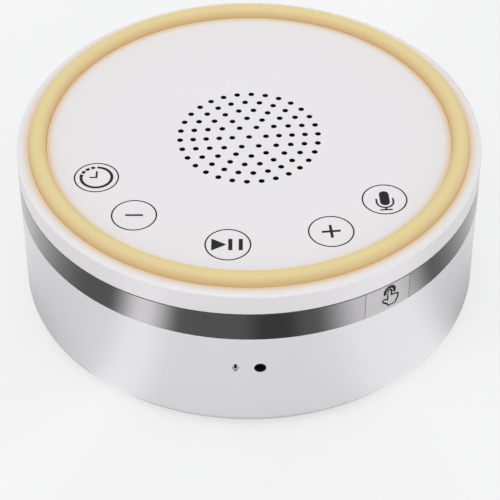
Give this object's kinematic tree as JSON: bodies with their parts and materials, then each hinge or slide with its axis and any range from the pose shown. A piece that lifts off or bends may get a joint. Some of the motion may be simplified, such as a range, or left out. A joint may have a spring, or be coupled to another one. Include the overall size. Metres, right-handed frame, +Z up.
{
  "type": "white noise sound machine",
  "caption": "Round flat sound machine with a domed light ring, speaker grille, press keys and a touch plate in a bright band.",
  "frame": {"origin": "centre of the plane that the feet stand on, on the case's axis", "axes": "+Z up along the case's axis; -Y is the front with the keys and the microphone hole; +X is to the right seen from the front"},
  "size_m": [0.12, 0.12, 0.0476],
  "materials": {
    "white_gloss": "moulded white with a soft gloss",
    "white_matte": "moulded white, fine matt texture",
    "key_gloss": "moulded white with a soft gloss, printed symbols",
    "ring_diffuser": "frosted, lit warm from inside",
    "circuit_board": "green solder mask",
    "lamp_resin": "yellow-white lamp resin",
    "screw_steel": "plated steel",
    "acoustic_cloth": "fine black mesh",
    "foam_seal": "closed-cell foam",
    "pressed_steel": "zinc-plated pressed steel",
    "soft_rubber": "soft black rubber",
    "cone_paper": "pressed black paper",
    "copper_winding": "enamelled copper wire",
    "spider_cloth": "resin-stiffened cloth",
    "ferrite": "sintered ferrite",
    "dark_chrome": "bright dark-chrome plating",
    "satin_metal": "satin metal",
    "contact_bronze": "spring bronze",
    "capsule_metal": "drawn aluminium can",
    "foot_rubber": "grey-black rubber",
    "cell_sleeve": "shrunk plastic sleeve",
    "strap_plastic": "nylon strap",
    "chip_resin": "black moulded resin",
    "capacitor_can": "aluminium can",
    "plug_plastic": "ivory nylon",
    "socket_steel": "nickel-plated steel",
    "cable_sleeve": "plastic insulation",
    "dome_silicone": "translucent silicone"
  },
  "bodies": {
    "case": {"top_cover": "white_gloss", "lower_housing": "white_gloss", "base_plate": "white_matte", "light_ring": "ring_diffuser", "lamp_board": "circuit_board", "key_board": "circuit_board", "main_board": "circuit_board", "socket_board": "circuit_board", "lamps": "lamp_resin", "key_board_screws": "screw_steel", "speaker_screws": "screw_steel", "case_screws": "screw_steel", "main_board_screws": "screw_steel", "grille_cloth": "acoustic_cloth", "speaker_gasket": "foam_seal", "speaker_frame": "pressed_steel", "speaker_top_plate": "pressed_steel", "speaker_yoke": "pressed_steel", "speaker_surround": "soft_rubber", "speaker_spider": "spider_cloth", "speaker_magnet": "ferrite", "trim_band": "dark_chrome", "touch_plate": "satin_metal", "touch_contact": "contact_bronze", "microphone_boot": "soft_rubber", "microphone_capsule": "capsule_metal", "rubber_feet": "foot_rubber", "battery_cell": "cell_sleeve", "battery_straps": "strap_plastic", "chips": "chip_resin", "capacitors": "capacitor_can", "wire_plugs": "plug_plastic", "power_socket": "socket_steel", "key_ribbon": "cable_sleeve", "battery_leads": "cable_sleeve", "speaker_leads": "cable_sleeve", "lamp_leads": "cable_sleeve", "microphone_leads": "cable_sleeve", "timer_dome": "dome_silicone", "minus_dome": "dome_silicone", "play_dome": "dome_silicone", "plus_dome": "dome_silicone", "microphone_dome": "dome_silicone"},
    "timer_button": {"timer_key": "key_gloss"},
    "minus_button": {"minus_key": "key_gloss"},
    "play_button": {"play_key": "key_gloss"},
    "plus_button": {"plus_key": "key_gloss"},
    "microphone_button": {"microphone_key": "key_gloss"},
    "cone": {"speaker_cone": "cone_paper", "dust_cap": "cone_paper", "voice_coil": "copper_winding"}
  },
  "joints": [
    {"name": "timer_press", "type": "slide", "parent": "case", "child": "timer_button", "axis": [0, 0, -1], "range_m": [0, 0.0008], "stiffness_N_per_m": 350, "springref_m": -0.001, "deforming": ["timer_dome"]},
    {"name": "minus_press", "type": "slide", "parent": "case", "child": "minus_button", "axis": [0, 0, -1], "range_m": [0, 0.0008], "stiffness_N_per_m": 350, "springref_m": -0.001, "deforming": ["minus_dome"]},
    {"name": "play_press", "type": "slide", "parent": "case", "child": "play_button", "axis": [0, 0, -1], "range_m": [0, 0.0008], "stiffness_N_per_m": 350, "springref_m": -0.001, "deforming": ["play_dome"]},
    {"name": "plus_press", "type": "slide", "parent": "case", "child": "plus_button", "axis": [0, 0, -1], "range_m": [0, 0.0008], "stiffness_N_per_m": 350, "springref_m": -0.001, "deforming": ["plus_dome"]},
    {"name": "microphone_press", "type": "slide", "parent": "case", "child": "microphone_button", "axis": [0, 0, -1], "range_m": [0, 0.0008], "stiffness_N_per_m": 350, "springref_m": -0.001, "deforming": ["microphone_dome"]},
    {"name": "cone_swing", "type": "slide", "parent": "case", "child": "cone", "axis": [0, 0, 1], "range_m": [-0.001, 0.001], "stiffness_N_per_m": 900, "deforming": ["speaker_spider", "speaker_surround"]}
  ]
}
